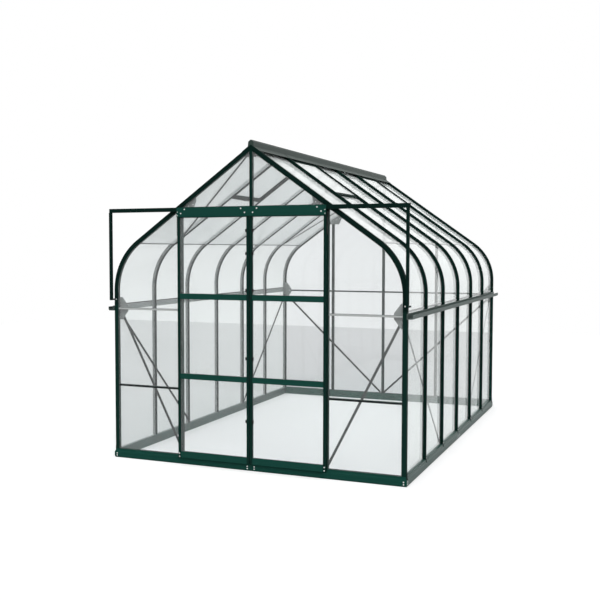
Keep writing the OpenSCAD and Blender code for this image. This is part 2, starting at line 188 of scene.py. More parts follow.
# %% [markdown]
# The next tools know the shape of the greenhouse. One gives a point on the
# slope from its distance to the ridge and its depth under the outer face, and
# one makes a block between such points. One follows the whole outline from the
# base rail to the ridge at some depth. With that, a strip that lies along a bar
# is two outlines with a width.

# %% Tools that know the outline
CURVE_STEPS = 16


def on_slope(down, depth, y, side):
    """A point on the slope: distance down from the ridge, depth under the face."""
    x = down * math.cos(PITCH) - depth * math.sin(PITCH)
    return Vector((side * x, y, APEX - down * math.sin(PITCH) - depth * math.cos(PITCH)))


def add_slope_block(bm, downs, depths, ys, side):
    """A block on the slope between two distances down, two depths and two y."""
    (u0, u1), (d0, d1) = downs, depths
    spots = ((u0, d0), (u1, d0), (u1, d1), (u0, d1))
    corners = [on_slope(u, d, ys[0], side) for u, d in spots]
    add_prism(bm, corners, (0, ys[1] - ys[0], 0))


def slope_under(x, depth):
    """Height of the roof line at x, at that depth."""
    return APEX - depth / math.cos(PITCH) - abs(x) * math.tan(PITCH)


def outline(depth, side, ridge_x):
    """The line at that depth, from the base rail to an x near the ridge."""
    r, centre = RADIUS - depth, WALL_X - RADIUS
    line = [(WALL_X - depth, SILL_TOP), (WALL_X - depth, CURVE_FOOT)]
    for k in range(1, CURVE_STEPS + 1):
        t = TURN * k / CURVE_STEPS
        line.append((centre + r * math.cos(t), CURVE_FOOT + r * math.sin(t)))
    line.append((ridge_x, slope_under(ridge_x, depth)))
    return [(side * x, z) for x, z in line]


def add_strip(bm, depths, ys, side, ridge_x):
    """A strip along the outline between two depths and two y."""
    rows = []
    lines = [outline(depth, side, ridge_x) for depth in depths]
    for (x0, z0), (x1, z1) in zip(*lines):
        corners = [(x0, ys[0], z0), (x0, ys[1], z0), (x1, ys[1], z1), (x1, ys[0], z1)]
        rows.append([bm.verts.new(c) for c in corners])
    for a, b in zip(rows, rows[1:]):
        for k in range(4):
            n = (k + 1) % 4
            bm.faces.new((a[k], a[n], b[n], b[k]))
    bm.faces.new(rows[0])
    bm.faces.new(list(reversed(rows[-1])))


print("height under the rafters in the middle:", round(slope_under(0, BAR_DEPTH), 3))

# %% [markdown]
# ## Finishes
#
# The metal is extruded aluminium with a baked powder coat. A powder coat is
# slightly uneven in tone and gloss, and its surface is like very fine orange
# peel. All painted parts use this one effect, so it lives in one shared group.
# It turns a base colour into a colour, a roughness and a surface direction.

# %% Shared powder coat effect
def new_group(name, inputs, outputs):
    """An empty shader group with named sockets."""
    group = bpy.data.node_groups.new(name, "ShaderNodeTree")
    for kind, title, value in inputs:
        socket = group.interface.new_socket(name=title, in_out="INPUT", socket_type=kind)
        socket.default_value = value
    for kind, title in outputs:
        group.interface.new_socket(name=title, in_out="OUTPUT", socket_type=kind)
    return group, group.nodes.new("NodeGroupInput"), group.nodes.new("NodeGroupOutput")


coat, coat_in, coat_out = new_group(
    "powder_coat",
    [("NodeSocketColor", "Coat", (0.01, 0.05, 0.04, 1)),
     ("NodeSocketFloat", "Gloss", 0.4)],
    [("NodeSocketColor", "Color"),
     ("NodeSocketFloat", "Roughness"),
     ("NodeSocketVector", "Normal")])
node, link = coat.nodes.new, coat.links.new
place = node("ShaderNodeTexCoord")
cloud = node("ShaderNodeTexNoise")
cloud.inputs["Scale"].default_value = 3.0
cloud.inputs["Detail"].default_value = 3.0
link(place.outputs["Object"], cloud.inputs["Vector"])
tone = node("ShaderNodeMapRange")
tone.inputs["To Min"].default_value = 0.92
tone.inputs["To Max"].default_value = 1.08
link(cloud.outputs["Fac"], tone.inputs["Value"])
shade = node("ShaderNodeVectorMath")
shade.operation = "SCALE"
link(coat_in.outputs["Coat"], shade.inputs[0])
link(tone.outputs["Result"], shade.inputs["Scale"])
link(shade.outputs["Vector"], coat_out.inputs["Color"])
rough = node("ShaderNodeMath")
rough.operation = "MULTIPLY"
link(coat_in.outputs["Gloss"], rough.inputs[0])
link(tone.outputs["Result"], rough.inputs[1])
link(rough.outputs["Value"], coat_out.inputs["Roughness"])
peel = node("ShaderNodeTexNoise")
peel.inputs["Scale"].default_value = 600.0
link(place.outputs["Object"], peel.inputs["Vector"])
bump = node("ShaderNodeBump")
bump.inputs["Strength"].default_value = 0.05
bump.inputs["Distance"].default_value = 0.0004
link(peel.outputs["Fac"], bump.inputs["Height"])
link(bump.outputs["Normal"], coat_out.inputs["Normal"])
print("powder coat effect:", len(coat.nodes), "nodes")

# %% [markdown]
# The whole frame is a deep bottle green, but its pieces don't look alike. Broad
# flat rails of the gables show the green best. The rails of the long sides
# catch more sky on their gloss. Posts and slim bars get darker copies of the
# same green, almost black: painted shade, for faces turned from the light.
# The ridge cap is greyer, the gutters are paler, the plates in the corners are
# pale grey, and the thin braces are a dark grey. So there is one recipe, used
# with eight colours.

# %% Painted metal
def material(name):
    """A material with one Principled shader, and that shader."""
    made = bpy.data.materials.new(name)
    made.use_nodes = True
    return made, made.node_tree.nodes["Principled BSDF"]


def painted(name, colour, gloss, shine):
    """Powder coated metal of one colour."""
    made, shader = material(name)
    nodes, links = made.node_tree.nodes, made.node_tree.links
    effect = nodes.new("ShaderNodeGroup")
    effect.node_tree = coat
    effect.inputs["Coat"].default_value = (*colour, 1)
    effect.inputs["Gloss"].default_value = gloss
    links.new(effect.outputs["Color"], shader.inputs["Base Color"])
    links.new(effect.outputs["Roughness"], shader.inputs["Roughness"])
    links.new(effect.outputs["Normal"], shader.inputs["Normal"])
    shader.inputs["Metallic"].default_value = 0.0
    shader.inputs["Specular IOR Level"].default_value = shine
    return made


green = painted("rail_green_coat", (0.007, 0.050, 0.038), 0.45, 0.04)
side_green = painted("side_rail_coat", (0.012, 0.050, 0.040), 0.4, 0.5)
# The post and bar greens are darker copies of the rail green: painted shade for faces
# turned from the light.
post_shade_green = painted("post_shade_green_coat", (0.004, 0.022, 0.017), 0.5, 0.03)
bar_shade_green = painted("bar_shade_green_coat", (0.003, 0.014, 0.011), 0.55, 0.02)
cap_green = painted("ridge_cap_coat", (0.022, 0.040, 0.033), 0.45, 0.2)
gutter_green = painted("gutter_coat", (0.078, 0.108, 0.100), 0.5, 0.2)
plate_grey = painted("plate_coat", (0.17, 0.185, 0.18), 0.5, 0.3)
brace_grey = painted("brace_coat", (0.012, 0.016, 0.015), 0.5, 0.1)
coats = (green, side_green, post_shade_green, bar_shade_green,
         cap_green, gutter_green, plate_grey, brace_grey)
print("painted finishes:", [m.name for m in coats])

# %% [markdown]
# Bolts and hangers are zinc plated steel: bright, with a fine satin grain. The
# long sides have black rubber seals, and the gables and doors have grey ones.
# The outer strips over the joints of the panes are pale plastic: grey on the
# gables, almost white on the roof and the long sides. Clips and the stays of
# the vents are black nylon, and the doors' buffers look the same. All of these
# are quite dull.

# %% Zinc, rubber and plastic
zinc, shader = material("zinc_plate")
nodes, links = zinc.node_tree.nodes, zinc.node_tree.links
place = nodes.new("ShaderNodeTexCoord")
grain = nodes.new("ShaderNodeTexNoise")
grain.inputs["Scale"].default_value = 250.0
links.new(place.outputs["Object"], grain.inputs["Vector"])
spread = nodes.new("ShaderNodeMapRange")
spread.inputs["To Min"].default_value = 0.28
spread.inputs["To Max"].default_value = 0.45
links.new(grain.outputs["Fac"], spread.inputs["Value"])
links.new(spread.outputs["Result"], shader.inputs["Roughness"])
shader.inputs["Base Color"].default_value = (0.72, 0.75, 0.74, 1)
shader.inputs["Metallic"].default_value = 0.6


MOTTLE = 0.08


def dull(name, colour, roughness):
    """A dull moulded material with a faint mottle."""
    made, shader = material(name)
    nodes, links = made.node_tree.nodes, made.node_tree.links
    place = nodes.new("ShaderNodeTexCoord")
    mottle = nodes.new("ShaderNodeTexNoise")
    mottle.inputs["Scale"].default_value = 40.0
    links.new(place.outputs["Object"], mottle.inputs["Vector"])
    spread = nodes.new("ShaderNodeMapRange")
    spread.inputs["To Min"].default_value = roughness - MOTTLE
    spread.inputs["To Max"].default_value = roughness + MOTTLE
    links.new(mottle.outputs["Fac"], spread.inputs["Value"])
    links.new(spread.outputs["Result"], shader.inputs["Roughness"])
    shader.inputs["Base Color"].default_value = (*colour, 1)
    shader.inputs["Specular IOR Level"].default_value = 0.2
    return made


rubber = dull("black_rubber", (0.012, 0.016, 0.015), 0.75)
grey_seal = dull("grey_seal", (0.10, 0.115, 0.11), 0.7)
pale_strip = dull("pale_strip", (0.40, 0.42, 0.415), 0.6)
white_strip = dull("white_strip", (0.78, 0.80, 0.795), 0.6)
nylon = dull("black_nylon", (0.008, 0.009, 0.009), 0.5)
small = (zinc, rubber, grey_seal, pale_strip, white_strip, nylon)
print("small finishes:", [m.name for m in small])

# %% [markdown]
# The panes are clear toughened glass. Looked at square on it is almost
# invisible; what one sees is a faint green-grey body, a weak reflection and a
# thin film of dust. The film is made by giving a share of the glass to plain
# white: most on the roof, less on the long sides and next to none on the gables
# and doors. Real glass casts next to no shadow, so lamps are let straight
# through it.
#
# The long sides and the roof are mostly seen at a very flat angle. There the
# full refraction of glass would mirror each bar as a broad dark band, so these
# panes get a lower index than the gables.

# %% Glass
def glazing(name, body, film, index):
    """Clear glass that lets lamps through."""
    made, shader = material(name)
    nodes, links = made.node_tree.nodes, made.node_tree.links
    shader.inputs["Base Color"].default_value = (*body, 1)
    shader.inputs["Roughness"].default_value = 0.0
    shader.inputs["Metallic"].default_value = 0.0
    shader.inputs["IOR"].default_value = index
    shader.inputs["Transmission Weight"].default_value = 1 - film
    clear = nodes.new("ShaderNodeBsdfTransparent")
    clear.inputs["Color"].default_value = (*body, 1)
    path = nodes.new("ShaderNodeLightPath")
    mix = nodes.new("ShaderNodeMixShader")
    links.new(path.outputs["Is Shadow Ray"], mix.inputs["Fac"])
    links.new(shader.outputs["BSDF"], mix.inputs[1])
    links.new(clear.outputs["BSDF"], mix.inputs[2])
    links.new(mix.outputs["Shader"], nodes["Material Output"].inputs["Surface"])
    return made


gable_glass = glazing("gable_glass", (0.90, 0.915, 0.92), 0.03, 1.42)
side_glass = glazing("side_glass", (0.95, 0.975, 0.97), 0.15, 1.12)
roof_glass = glazing("roof_glass", (0.95, 0.975, 0.97), 0.38, 1.12)
print("glass:", gable_glass.name, side_glass.name, roof_glass.name)

# %% [markdown]
# ## Dressing the frame
#
# Now every part of the frame gets its finish. The parts keep the slots they
# came with; only what fills the slots changes.

# %% Give each part its finish
def finish_for(name):
    """The finish of a part of the frame, from its name."""
    if "glass" in name:
        if "roof" in name or "vent" in name:
            return roof_glass
        in_gable = name.startswith(("front", "rear")) or "door" in name
        return gable_glass if in_gable else side_glass
    if "hangers" in name:
        return zinc
    if name == "ridge_cap":
        return cap_green
    if name.endswith("gutter"):
        return gutter_green
    if name == "gable_plates":
        return plate_grey
    if name.endswith("braces"):
        return brace_grey
    if name in ("left_sill", "right_sill"):
        return side_green
    if name.endswith(("_sill", "door_rails")) or name in ("door_head", "head_fascia"):
        return green
    # Posts, door stiles and the other bars get the darker copies of the green: painted
    # shade on faces turned from the light.
    if name.endswith(("door_stiles", "_posts")) or name == "front_glazing_bars":
        return post_shade_green
    return bar_shade_green


for name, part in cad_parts.items():
    chosen = finish_for(name)
    if not part.material_slots:
        part.data.materials.append(chosen)
    for slot in part.material_slots:
        slot.material = chosen
print("finishes given to", len(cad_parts), "parts")

# %% [markdown]
# ## Glazing strips along the bars
#
# On the real bars a pane rests against a thin inner flange and is held from
# outside by a slim rubber strip. Both run the whole way from the base rail to
# the ridge and follow the curve. They are narrow, because a wide strip would
# take light from the plants. They end under the ridge cap, or at the lower edge
# of a vent in the bays that have one.

# %% Flanges and rubber strips of the sides
FLANGE_W, STRIP_W = 0.005, 0.002
TOUCH, FLANGE_BACK, STRIP_FRONT = 0.0001, 0.0018, 0.0028
VENT_END, CAP_END = 0.600, 0.095
flange_depths = (GLASS_IN + GLASS_T + TOUCH, GLASS_IN + GLASS_T + FLANGE_BACK)
strip_depths = (GLASS_IN - STRIP_FRONT, GLASS_IN - TOUCH)
UNDER_CAP, UNDER_VENT = 0.02, VENT_END * math.cos(PITCH) + 0.002


def side_strips(side, depths, width):
    """Strips on both edges of every bay of one side."""
    def fill(bm):
        for i, (start, stop) in enumerate(bays):
            ridge_x = UNDER_VENT if i in VENT_BAYS else UNDER_CAP
            for ys in ((start, start + width), (stop - width, stop)):
                add_strip(bm, depths, ys, side, ridge_x)
    return fill


for side, word in ((-1, "left"), (1, "right")):
    piece(f"{word}_bar_flanges", side_strips(side, flange_depths, FLANGE_W), bar_shade_green)
    piece(f"{word}_bar_seals", side_strips(side, strip_depths, STRIP_W), rubber)

# %% [markdown]
# The vents close on a ledge fixed to the bars on either side, just under the
# vent's frame.

# %% Ledges under the vents
LEDGE_W, LEDGE_DEPTHS = 0.012, (0.0285, 0.0305)
ledge_downs = (CAP_END, VENT_END - 0.027)


def vent_ledges(bm):
    for side in (-1, 1):
        for i in VENT_BAYS:
            start, stop = bays[i]
            for ys in ((start, start + LEDGE_W), (stop - LEDGE_W, stop)):
                add_slope_block(bm, ledge_downs, LEDGE_DEPTHS, ys, side)


piece("vent_ledges", vent_ledges, bar_shade_green)

# %% [markdown]
# Where the curved pane meets the straight ones, a slim strip covers the two cut
# edges on each face. The outer one is pale plastic and keeps the rain out. The
# inner one is metal and a little narrower, so the outer one hides it.

# %% Joint strips between panes
JOINT_INSET, COVER_REACH, STRIP_REACH = 0.013, 0.006, 0.004


def joint_strips(depths, reach):
    """Strips along both ends of the curved panes, on one of their faces."""
    def fill(bm):
        for side in (-1, 1):
            x0, x1 = (side * (WALL_X - depth) for depth in depths)
            for start, stop in bays:
                y0, y1 = start + JOINT_INSET, stop - JOINT_INSET
                add_slope_block(bm, (SLOPE - reach, SLOPE + reach), depths, (y0, y1), side)
                add_block(bm, (x0, y0, SPLICE - reach), (x1, y1, SPLICE + reach))
    return fill


piece("pane_joint_covers", joint_strips(strip_depths, COVER_REACH), white_strip)
piece("pane_joint_strips", joint_strips(flange_depths, STRIP_REACH), brace_grey)

# %% [markdown]
# ## Glazing strips of the gables
#
# The gables are glazed the same way. Here the strips follow the inner edge of
# the end bars and run along the sides and the foot of each opening. An opening
# goes from the base rail, or from the door head, up to the roof. The transoms
# stand behind the glass, so they don't divide it.

# %% Openings of the gables
POST_W, REAR_X, HALF_TRANSOM = 0.030, 0.620, 0.008
POST_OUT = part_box("door_posts")[1].x
POST_IN = POST_OUT - POST_W
INNER_X = WALL_X - BAR_DEPTH
HEAD_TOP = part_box("door_head")[1].z
low_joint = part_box("front_glazing_bars")[0].z + HALF_TRANSOM
high_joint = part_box("rear_transoms")[0].z + HALF_TRANSOM
print(f"panes of the gables meet at {low_joint:.3f} and {high_joint:.3f}")


def add_edging(bm, rect, ys, width):
    """Four strips inside the edges of an upright opening."""
    x0, x1, z0, z1 = rect
    add_block(bm, (x0, ys[0], z0), (x0 + width, ys[1], z1))
    add_block(bm, (x1 - width, ys[0], z0), (x1, ys[1], z1))
    add_block(bm, (x0 + width, ys[0], z0), (x1 - width, ys[1], z0 + width))
    add_block(bm, (x0 + width, ys[0], z1 - width), (x1 - width, ys[1], z1))


def add_open_top(bm, x0, x1, z0, ys, width, right_edge):
    """Strips along the foot and upright edges of an opening under the roof."""
    add_block(bm, (x0, ys[0], z0), (x1, ys[1], z0 + width))
    uprights = [(x0, x0 + width), (x1 - width, x1)] if right_edge else [(x0, x0 + width)]
    for a, b in uprights:
        add_block(bm, (a, ys[0], z0 + width), (b, ys[1], slope_under(b, BAR_DEPTH)))


# %% [markdown]
# The flange sits just behind a pane and the rubber strip just in front of it.
# The two halves of a gable mirror each other, so one half is built and flipped.

# %% Flanges and seals of the gables
TRIM_RIDGE_X = 0.012


def gable_trim(ys_front, ys_rear, width):
    """Trim of both gables: ys_front for the door gable, ys_rear for the other."""
    def fill(bm):
        for side in (-1, 1):
            own = bmesh.new()
            add_open_top(own, POST_OUT, INNER_X, SILL_TOP, ys_front, width, False)
            add_open_top(own, BAR / 2, POST_IN, HEAD_TOP, ys_front, width, True)
            add_open_top(own, BAR / 2, REAR_X - BAR / 2, SILL_TOP, ys_rear, width, True)
            add_open_top(own, REAR_X + BAR / 2, INNER_X, SILL_TOP, ys_rear, width, False)
            for ys in (ys_front, ys_rear):
                add_strip(own, (BAR_DEPTH, BAR_DEPTH + width), ys, 1, TRIM_RIDGE_X)
            if side < 0:
                for vert in own.verts:
                    vert.co.x = -vert.co.x
            scratch = bpy.data.meshes.new("scratch")
            own.to_mesh(scratch)
            own.free()
            bm.from_mesh(scratch)
            bpy.data.meshes.remove(scratch)
    return fill


def both_gables(near, far):
    """The y of a layer on the door gable, then on the rear gable."""
    return (-far, -near), (near, far)


GABLE_FLANGE_W, FLANGE_GAP, SEAL_FRONT = 0.006, 0.0003, 0.0026
outer, inner = WALL_Y - GABLE_GLASS_IN, WALL_Y - GABLE_GLASS_IN - GLASS_T
flange_ys = both_gables(inner - FLANGE_BACK, inner - FLANGE_GAP)
piece("gable_flanges", gable_trim(*flange_ys, GABLE_FLANGE_W), post_shade_green)
seal_ys = both_gables(outer + TOUCH, outer + SEAL_FRONT)
piece("gable_seals", gable_trim(*seal_ys, STRIP_W), grey_seal)

# %% [markdown]
# The gable panes meet in front of the transoms. A flat strip closes each joint
# from outside. The upper strips are pale plastic, the lower ones dark.

# %% Joint strips of the gables
JOINT_T, JOINT_REACH, JOINT_END = 0.0012, 0.007, 0.004
upper_spans = [(POST_OUT, INNER_X, -1),
               (BAR / 2, REAR_X - BAR / 2, 1),
               (REAR_X + BAR / 2, INNER_X, 1)]
lower_spans = upper_spans[:1]


def gable_joints(spans, z):
    """Strips across the openings of a gable (-1 is the door gable) at a height."""
    def fill(bm):
        for x0, x1, gable in spans:
            ys = sorted((gable * (outer + TOUCH), gable * (outer + JOINT_T)))
            for side in (-1, 1):
                xs = sorted((side * (x0 + JOINT_END), side * (x1 - JOINT_END)))
                low, high = z - JOINT_REACH, z + JOINT_REACH
                add_block(bm, (xs[0], ys[0], low), (xs[1], ys[1], high))
    return fill


piece("upper_joint_strips", gable_joints(upper_spans, high_joint), pale_strip)
piece("lower_joint_strips", gable_joints(lower_spans, low_joint), brace_grey)

# %% [markdown]
# ## The doors
#
# Each door has three panes in a frame. Each pane is held by a rubber strip on
# both faces, and small black clips keep the strip from creeping. On the outer
# edge, near the top, a short ribbed buffer keeps the door from rattling in the
# wind. Both doors are alike, so each piece is described once, for the right
# door, and mirrored for the left one.

# %% Panes of the doors
DOOR_FRONT, DOOR_BACK = (corner.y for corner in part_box("right_door_rails"))
STILE_IN, STILE_OUT = (corner.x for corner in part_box("right_door_stiles"))
glass_low, glass_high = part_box("right_door_glass")
STILE_W, RAIL_H, LOW_RAIL, MID_RAIL = 0.0221, 0.043, 0.709, 1.361
pane_x = (STILE_IN + STILE_W, STILE_OUT - STILE_W)
pane_zs = [(glass_low.z, LOW_RAIL),
           (LOW_RAIL + RAIL_H, MID_RAIL),
           (MID_RAIL + RAIL_H, glass_high.z)]
print("door pane width:", round(pane_x[1] - pane_x[0], 3))


def sided(side, x0, x1):
    """Two x of the right door on that side of the doorway, the smaller first."""
    return sorted((side * x0, side * x1))


SEAL_GAP, SEAL_FACE = 0.0002, 0.0027
door_seal_ys = [(glass_low.y - SEAL_FACE, glass_low.y - SEAL_GAP),
                (glass_high.y + SEAL_GAP, glass_high.y + SEAL_FACE)]


def door_seals(side):
    """Rubber strips round each pane, on both faces."""
    def fill(bm):
        for z0, z1 in pane_zs:
            for ys in door_seal_ys:
                add_edging(bm, (*sided(side, *pane_x), z0, z1), ys, STRIP_W)
    return fill


# %% [markdown]
# A clip hooks over the strip at the inner edge of the door, and most of the
# clips sit near the top. A buffer is a row of ribs on a thin backing, so that it
# gives a little. Both are plain blocks: they are too small for more to show.

# %% Clips and buffers of the doors
CLIP_HEIGHTS, HALF_CLIP = (0.40, 0.90, 1.44, 1.73, 1.91), 0.012
clip_x = (pane_x[0] - 0.004, pane_x[0] + 0.009)
clip_y = (DOOR_FRONT - 0.0015, glass_low.y - 0.0005)


def door_clips(side):
    """Clips over the strip of the inner edge."""
    def fill(bm):
        a, b = sided(side, *clip_x)
        for z in CLIP_HEIGHTS:
            add_block(bm, (a, clip_y[0], z - HALF_CLIP), (b, clip_y[1], z + HALF_CLIP))
    return fill


RIBS, RIB_FOOT, RIB_STEP, RIB_H, RIB_OUT = 9, 1.875, 0.02, 0.012, 0.007
BACKING_FOOT, BACKING_TOP, BACKING_T = 1.872, 2.051, 0.002
buffer_y = (DOOR_FRONT + 0.004, DOOR_BACK - 0.004)


def door_buffer(side):
    """Ribs on a thin backing, on the outer edge."""
    def fill(bm):
        a, b = sided(side, STILE_OUT, STILE_OUT + RIB_OUT)
        for k in range(RIBS):
            z = RIB_FOOT + k * RIB_STEP
            add_block(bm, (a, buffer_y[0], z), (b, buffer_y[1], z + RIB_H))
        a, b = sided(side, STILE_OUT, STILE_OUT + BACKING_T)
        add_block(bm, (a, buffer_y[0], BACKING_FOOT), (b, buffer_y[1], BACKING_TOP))
    return fill


print("on each door:", len(CLIP_HEIGHTS), "clips and", RIBS, "ribs")

# %% [markdown]
# Each door has two pairs of bolts. One pair sits at the outer corner of its
# foot. The other holds the hangers and shows only at the back, with low heads.

# %% Bolts of the doors, and the pieces of both doors
foot_spots = [(0.629, 0.094), (0.629, 0.068)]
hanger_spots = [(0.036, 2.048), (0.601, 2.048)]


def door_bolts(side):
    """Bolts of the foot in front, and of the hangers behind."""
    def fill(bm):
        for x, z in foot_spots:
            add_bolt(bm, (side * x, DOOR_FRONT, z), (0, -1, 0))
        for x, z in hanger_spots:
            add_bolt(bm, (side * x, DOOR_BACK, z), (0, 1, 0), height=LOW_HEIGHT)
    return fill


for side, word in ((-1, "left"), (1, "right")):
    piece(f"{word}_door_seals", door_seals(side), grey_seal, f"{word}_door")
    piece(f"{word}_door_clips", door_clips(side), nylon, f"{word}_door")
    piece(f"{word}_door_buffer", door_buffer(side), nylon, f"{word}_door")
    piece(f"{word}_door_bolts", door_bolts(side), zinc, f"{word}_door")

# %% [markdown]
# ## Bolts of the frame
#
# The frame is bolted together on site. Each face of a base corner has a pair of
# bolts, one above the other. Each base rail comes in two lengths, and at the
# joint in its middle each length has such a pair too.

# %% Bolts and joints of the base
BOLT_HEIGHTS, BESIDE_JOINT = (0.036, 0.018), 0.030
CORNER_X, CORNER_Y = 1.245, 1.865
SILL_END = WALL_Y + 0.008
JOINT_LOW, JOINT_HIGH, HALF_JOINT, JOINT_OUT = 0.0102, 0.0498, 0.0006, 0.0003


def base_bolts(bm):
    for s in (-1, 1):
        for z in BOLT_HEIGHTS:
            for x in (-CORNER_X, -BESIDE_JOINT, BESIDE_JOINT, CORNER_X):
                add_bolt(bm, (x, s * SILL_END, z), (0, s, 0))
            for y in (-CORNER_Y, -BESIDE_JOINT, BESIDE_JOINT, CORNER_Y):
                add_bolt(bm, (s * SILL_FACE, y, z), (s, 0, 0))


def base_joints(bm):
    for s in (-1, 1):
        y0, y1 = sorted((s * SILL_END, s * (SILL_END + JOINT_OUT)))
        add_block(bm, (-HALF_JOINT, y0, JOINT_LOW), (HALF_JOINT, y1, JOINT_HIGH))
        x0, x1 = sorted((s * SILL_FACE, s * (SILL_FACE + JOINT_OUT)))
        add_block(bm, (x0, -HALF_JOINT, JOINT_LOW), (x1, HALF_JOINT, JOINT_HIGH))


piece("base_bolts", base_bolts, zinc)
piece("base_joints", base_joints, rubber)

# %% [markdown]
# A bar stands on the base rail in a small boot: a bent plate that lies on the
# sloping ledge of the rail and takes one bolt through the bar.

# %% Boots of the side bars
LEDGE_Z = SILL_TOP - 0.025
BOOT_TOP, BOOT_FACE, BOOT_TIP = SILL_TOP + 0.022, WALL_X + 0.0018, SILL_FACE - 0.0005
BOOT_BOLT_Z = SILL_TOP + 0.010
boot_shape = [(WALL_X, BOOT_TOP), (BOOT_FACE, BOOT_TOP),
              (BOOT_FACE, LEDGE_Z + 0.0085), (BOOT_TIP, LEDGE_Z + 0.0025),
              (BOOT_TIP, LEDGE_Z + 0.0006), (WALL_X, LEDGE_Z + 0.0081)]


def boots(bm):
    for side in (-1, 1):
        for i in range(BAYS + 1):
            wide = END_BAR if i in (0, BAYS) else BAR
            y = max(-WALL_Y, min(WALL_Y - wide, -WALL_Y + i * step - wide / 2))
            add_prism(bm, [(side * x, y, z) for x, z in boot_shape], (0, wide, 0))


def boot_bolts(bm):
    for side in (-1, 1):
        for i in range(1, BAYS):
            at = (side * BOOT_FACE, -WALL_Y + i * step, BOOT_BOLT_Z)
            add_bolt(bm, at, (side, 0, 0), radius=SMALL_RADIUS)


piece("bar_boots", boots, bar_shade_green)
piece("bar_boot_bolts", boot_bolts, zinc)

# %% [markdown]
# Each corner post is spliced to the curved bar above it with a bolt on each
# face, just over the gutter. The cover plate over the doors is bolted through
# the track to the door head. The heads on the faces of the gables are low,
# because the doors slide past those in front with little room to spare.

# %% Bolts of the posts and the cover plate
PLATE_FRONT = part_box("head_fascia")[0].y
track_low, track_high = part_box("door_track")
TRACK_MID = (track_low.z + track_high.z) / 2
SPLICE_BOLT_Z = 1.343
plate_front_spots = [(0.068, TRACK_MID), (0.568, TRACK_MID), (0.035, 2.051), (0.601, 2.051)]
plate_end_spots = [(0.632, 2.062), (0.632, 2.034)]


def frame_bolts(bm):
    for s in (-1, 1):
        for g in (-1, 1):
            at = (s * CORNER_X, g * WALL_Y, SPLICE_BOLT_Z)
            add_bolt(bm, at, (0, g, 0), height=LOW_HEIGHT)
            add_bolt(bm, (s * WALL_X, g * CORNER_Y, SPLICE_BOLT_Z), (s, 0, 0))
        for x, z in plate_front_spots:
            add_bolt(bm, (s * x, PLATE_FRONT, z), (0, -1, 0), height=LOW_HEIGHT)
        for x, z in plate_end_spots:
            add_bolt(bm, (s * x, PLATE_FRONT, z), (0, -1, 0), TINY_RADIUS, LOW_HEIGHT)


piece("frame_bolts", frame_bolts, zinc)

# %% [markdown]
# Inside, flat plates tie the corners and the top of each gable, and the thin
# flat braces meet them there. Each plate has a few bolts. Where a pane lies in
# front of a plate, heads show on its outer face too.

# %% Bolts of the plates
PLATE_OUT = WALL_Y - BAR_DEPTH
PLATE_IN = PLATE_OUT - 0.004
inner_spots = [(1.218, 1.345), (1.218, 1.187), (1.196, 1.200), (1.176, 1.266),
               (0.529, 2.125), (0.571, 2.113), (0.630, 2.075), (0.520, 2.165),
               (0.038, 2.488)]
outer_spots = [(0.529, 2.125), (0.571, 2.113), (0.038, 2.488)]


def plate_bolts(bm):
    for s in (-1, 1):
        for g in (-1, 1):
            for x, z in inner_spots:
                add_bolt(bm, (s * x, g * PLATE_IN, z), (0, -g, 0), radius=SMALL_RADIUS)
            for x, z in outer_spots:
                add_bolt(bm, (s * x, g * PLATE_OUT, z), (0, g, 0), radius=SMALL_RADIUS)


piece("plate_bolts", plate_bolts, zinc)

# %% [markdown]
# ## Roof vents
#
# A vent is held open by a casement stay: a flat bar with holes that drops over
# a peg. When the vent is shut the bar lies along the cross bar, on two small
# brackets.

# %% Stays of the vents
stay_downs = (VENT_END - 0.021, VENT_END - 0.005)
bracket_downs = (VENT_END - 0.019, VENT_END - 0.007)
peg_down = sum(stay_downs) / 2
BRACKET_TOP, STAY_TOP, STAY_FOOT, PEG_FOOT = 0.040, 0.047, 0.050, 0.062
HALF_STAY, BRACKET_AT, HALF_BRACKET, PEG_RADIUS = 0.13, 0.09, 0.008, 0.003


def vent_stays(bm):
    for side in (-1, 1):
        for i in VENT_BAYS:
            middle = sum(bays[i]) / 2
            ys = (middle - HALF_STAY, middle + HALF_STAY)
            add_slope_block(bm, stay_downs, (STAY_TOP, STAY_FOOT), ys, side)
            for y in (middle - BRACKET_AT, middle + BRACKET_AT):
                ys = (y - HALF_BRACKET, y + HALF_BRACKET)
                add_slope_block(bm, bracket_downs, (BRACKET_TOP, STAY_TOP), ys, side)
                a, b = (on_slope(peg_down, d, y, side) for d in (STAY_FOOT, PEG_FOOT))
                add_pin(bm, a, b, PEG_RADIUS)


piece("vent_stays", vent_stays, nylon)

# %% [markdown]
# The hinge is a long rod under the edge of the ridge cap. A rod can be put in
# from one end and lets the vent turn along its whole width.

# %% Hinges of the vents
ROD_DOWN, ROD_DEPTH, ROD_END, ROD_RADIUS, ROD_SIDES = 0.0935, 0.012, 0.004, 0.0013, 8


def vent_hinges(bm):
    for side in (-1, 1):
        for i in VENT_BAYS:
            start, stop = bays[i]
            ys = (start + ROD_END, stop - ROD_END)
            a, b = (on_slope(ROD_DOWN, ROD_DEPTH, y, side) for y in ys)
            add_pin(bm, a, b, ROD_RADIUS, ROD_SIDES)


piece("vent_hinges", vent_hinges, zinc)

# %% [markdown]
# ## Ridge cap joints
#
# The ridge cap comes in three lengths. A thin cover strip hides each joint.

# %% Joints of the ridge cap
CAP_JOINT_DOWNS, CAP_JOINT_DEPTHS, HALF_COVER = (0.034, 0.0915), (-0.0031, -0.0039), 0.004


def cap_joints(bm):
    for y in (-WALL_Y + step, WALL_Y - step):
        for side in (-1, 1):
            ys = (y - HALF_COVER, y + HALF_COVER)
            add_slope_block(bm, CAP_JOINT_DOWNS, CAP_JOINT_DEPTHS, ys, side)


piece("ridge_cap_joints", cap_joints, bar_shade_green)
print("pieces added so far:", len(pieces_made))

# %% [markdown]
# ## Floor, light and camera
#
# The greenhouse stands on a pale studio floor that catches its soft shadow. To
# the eye the floor is a good deal brighter than its paint, so the background
# stays white while the metal keeps its depth. Seen through glass, or mirrored,
# it is only a little brighter, so the panes keep their grey body.

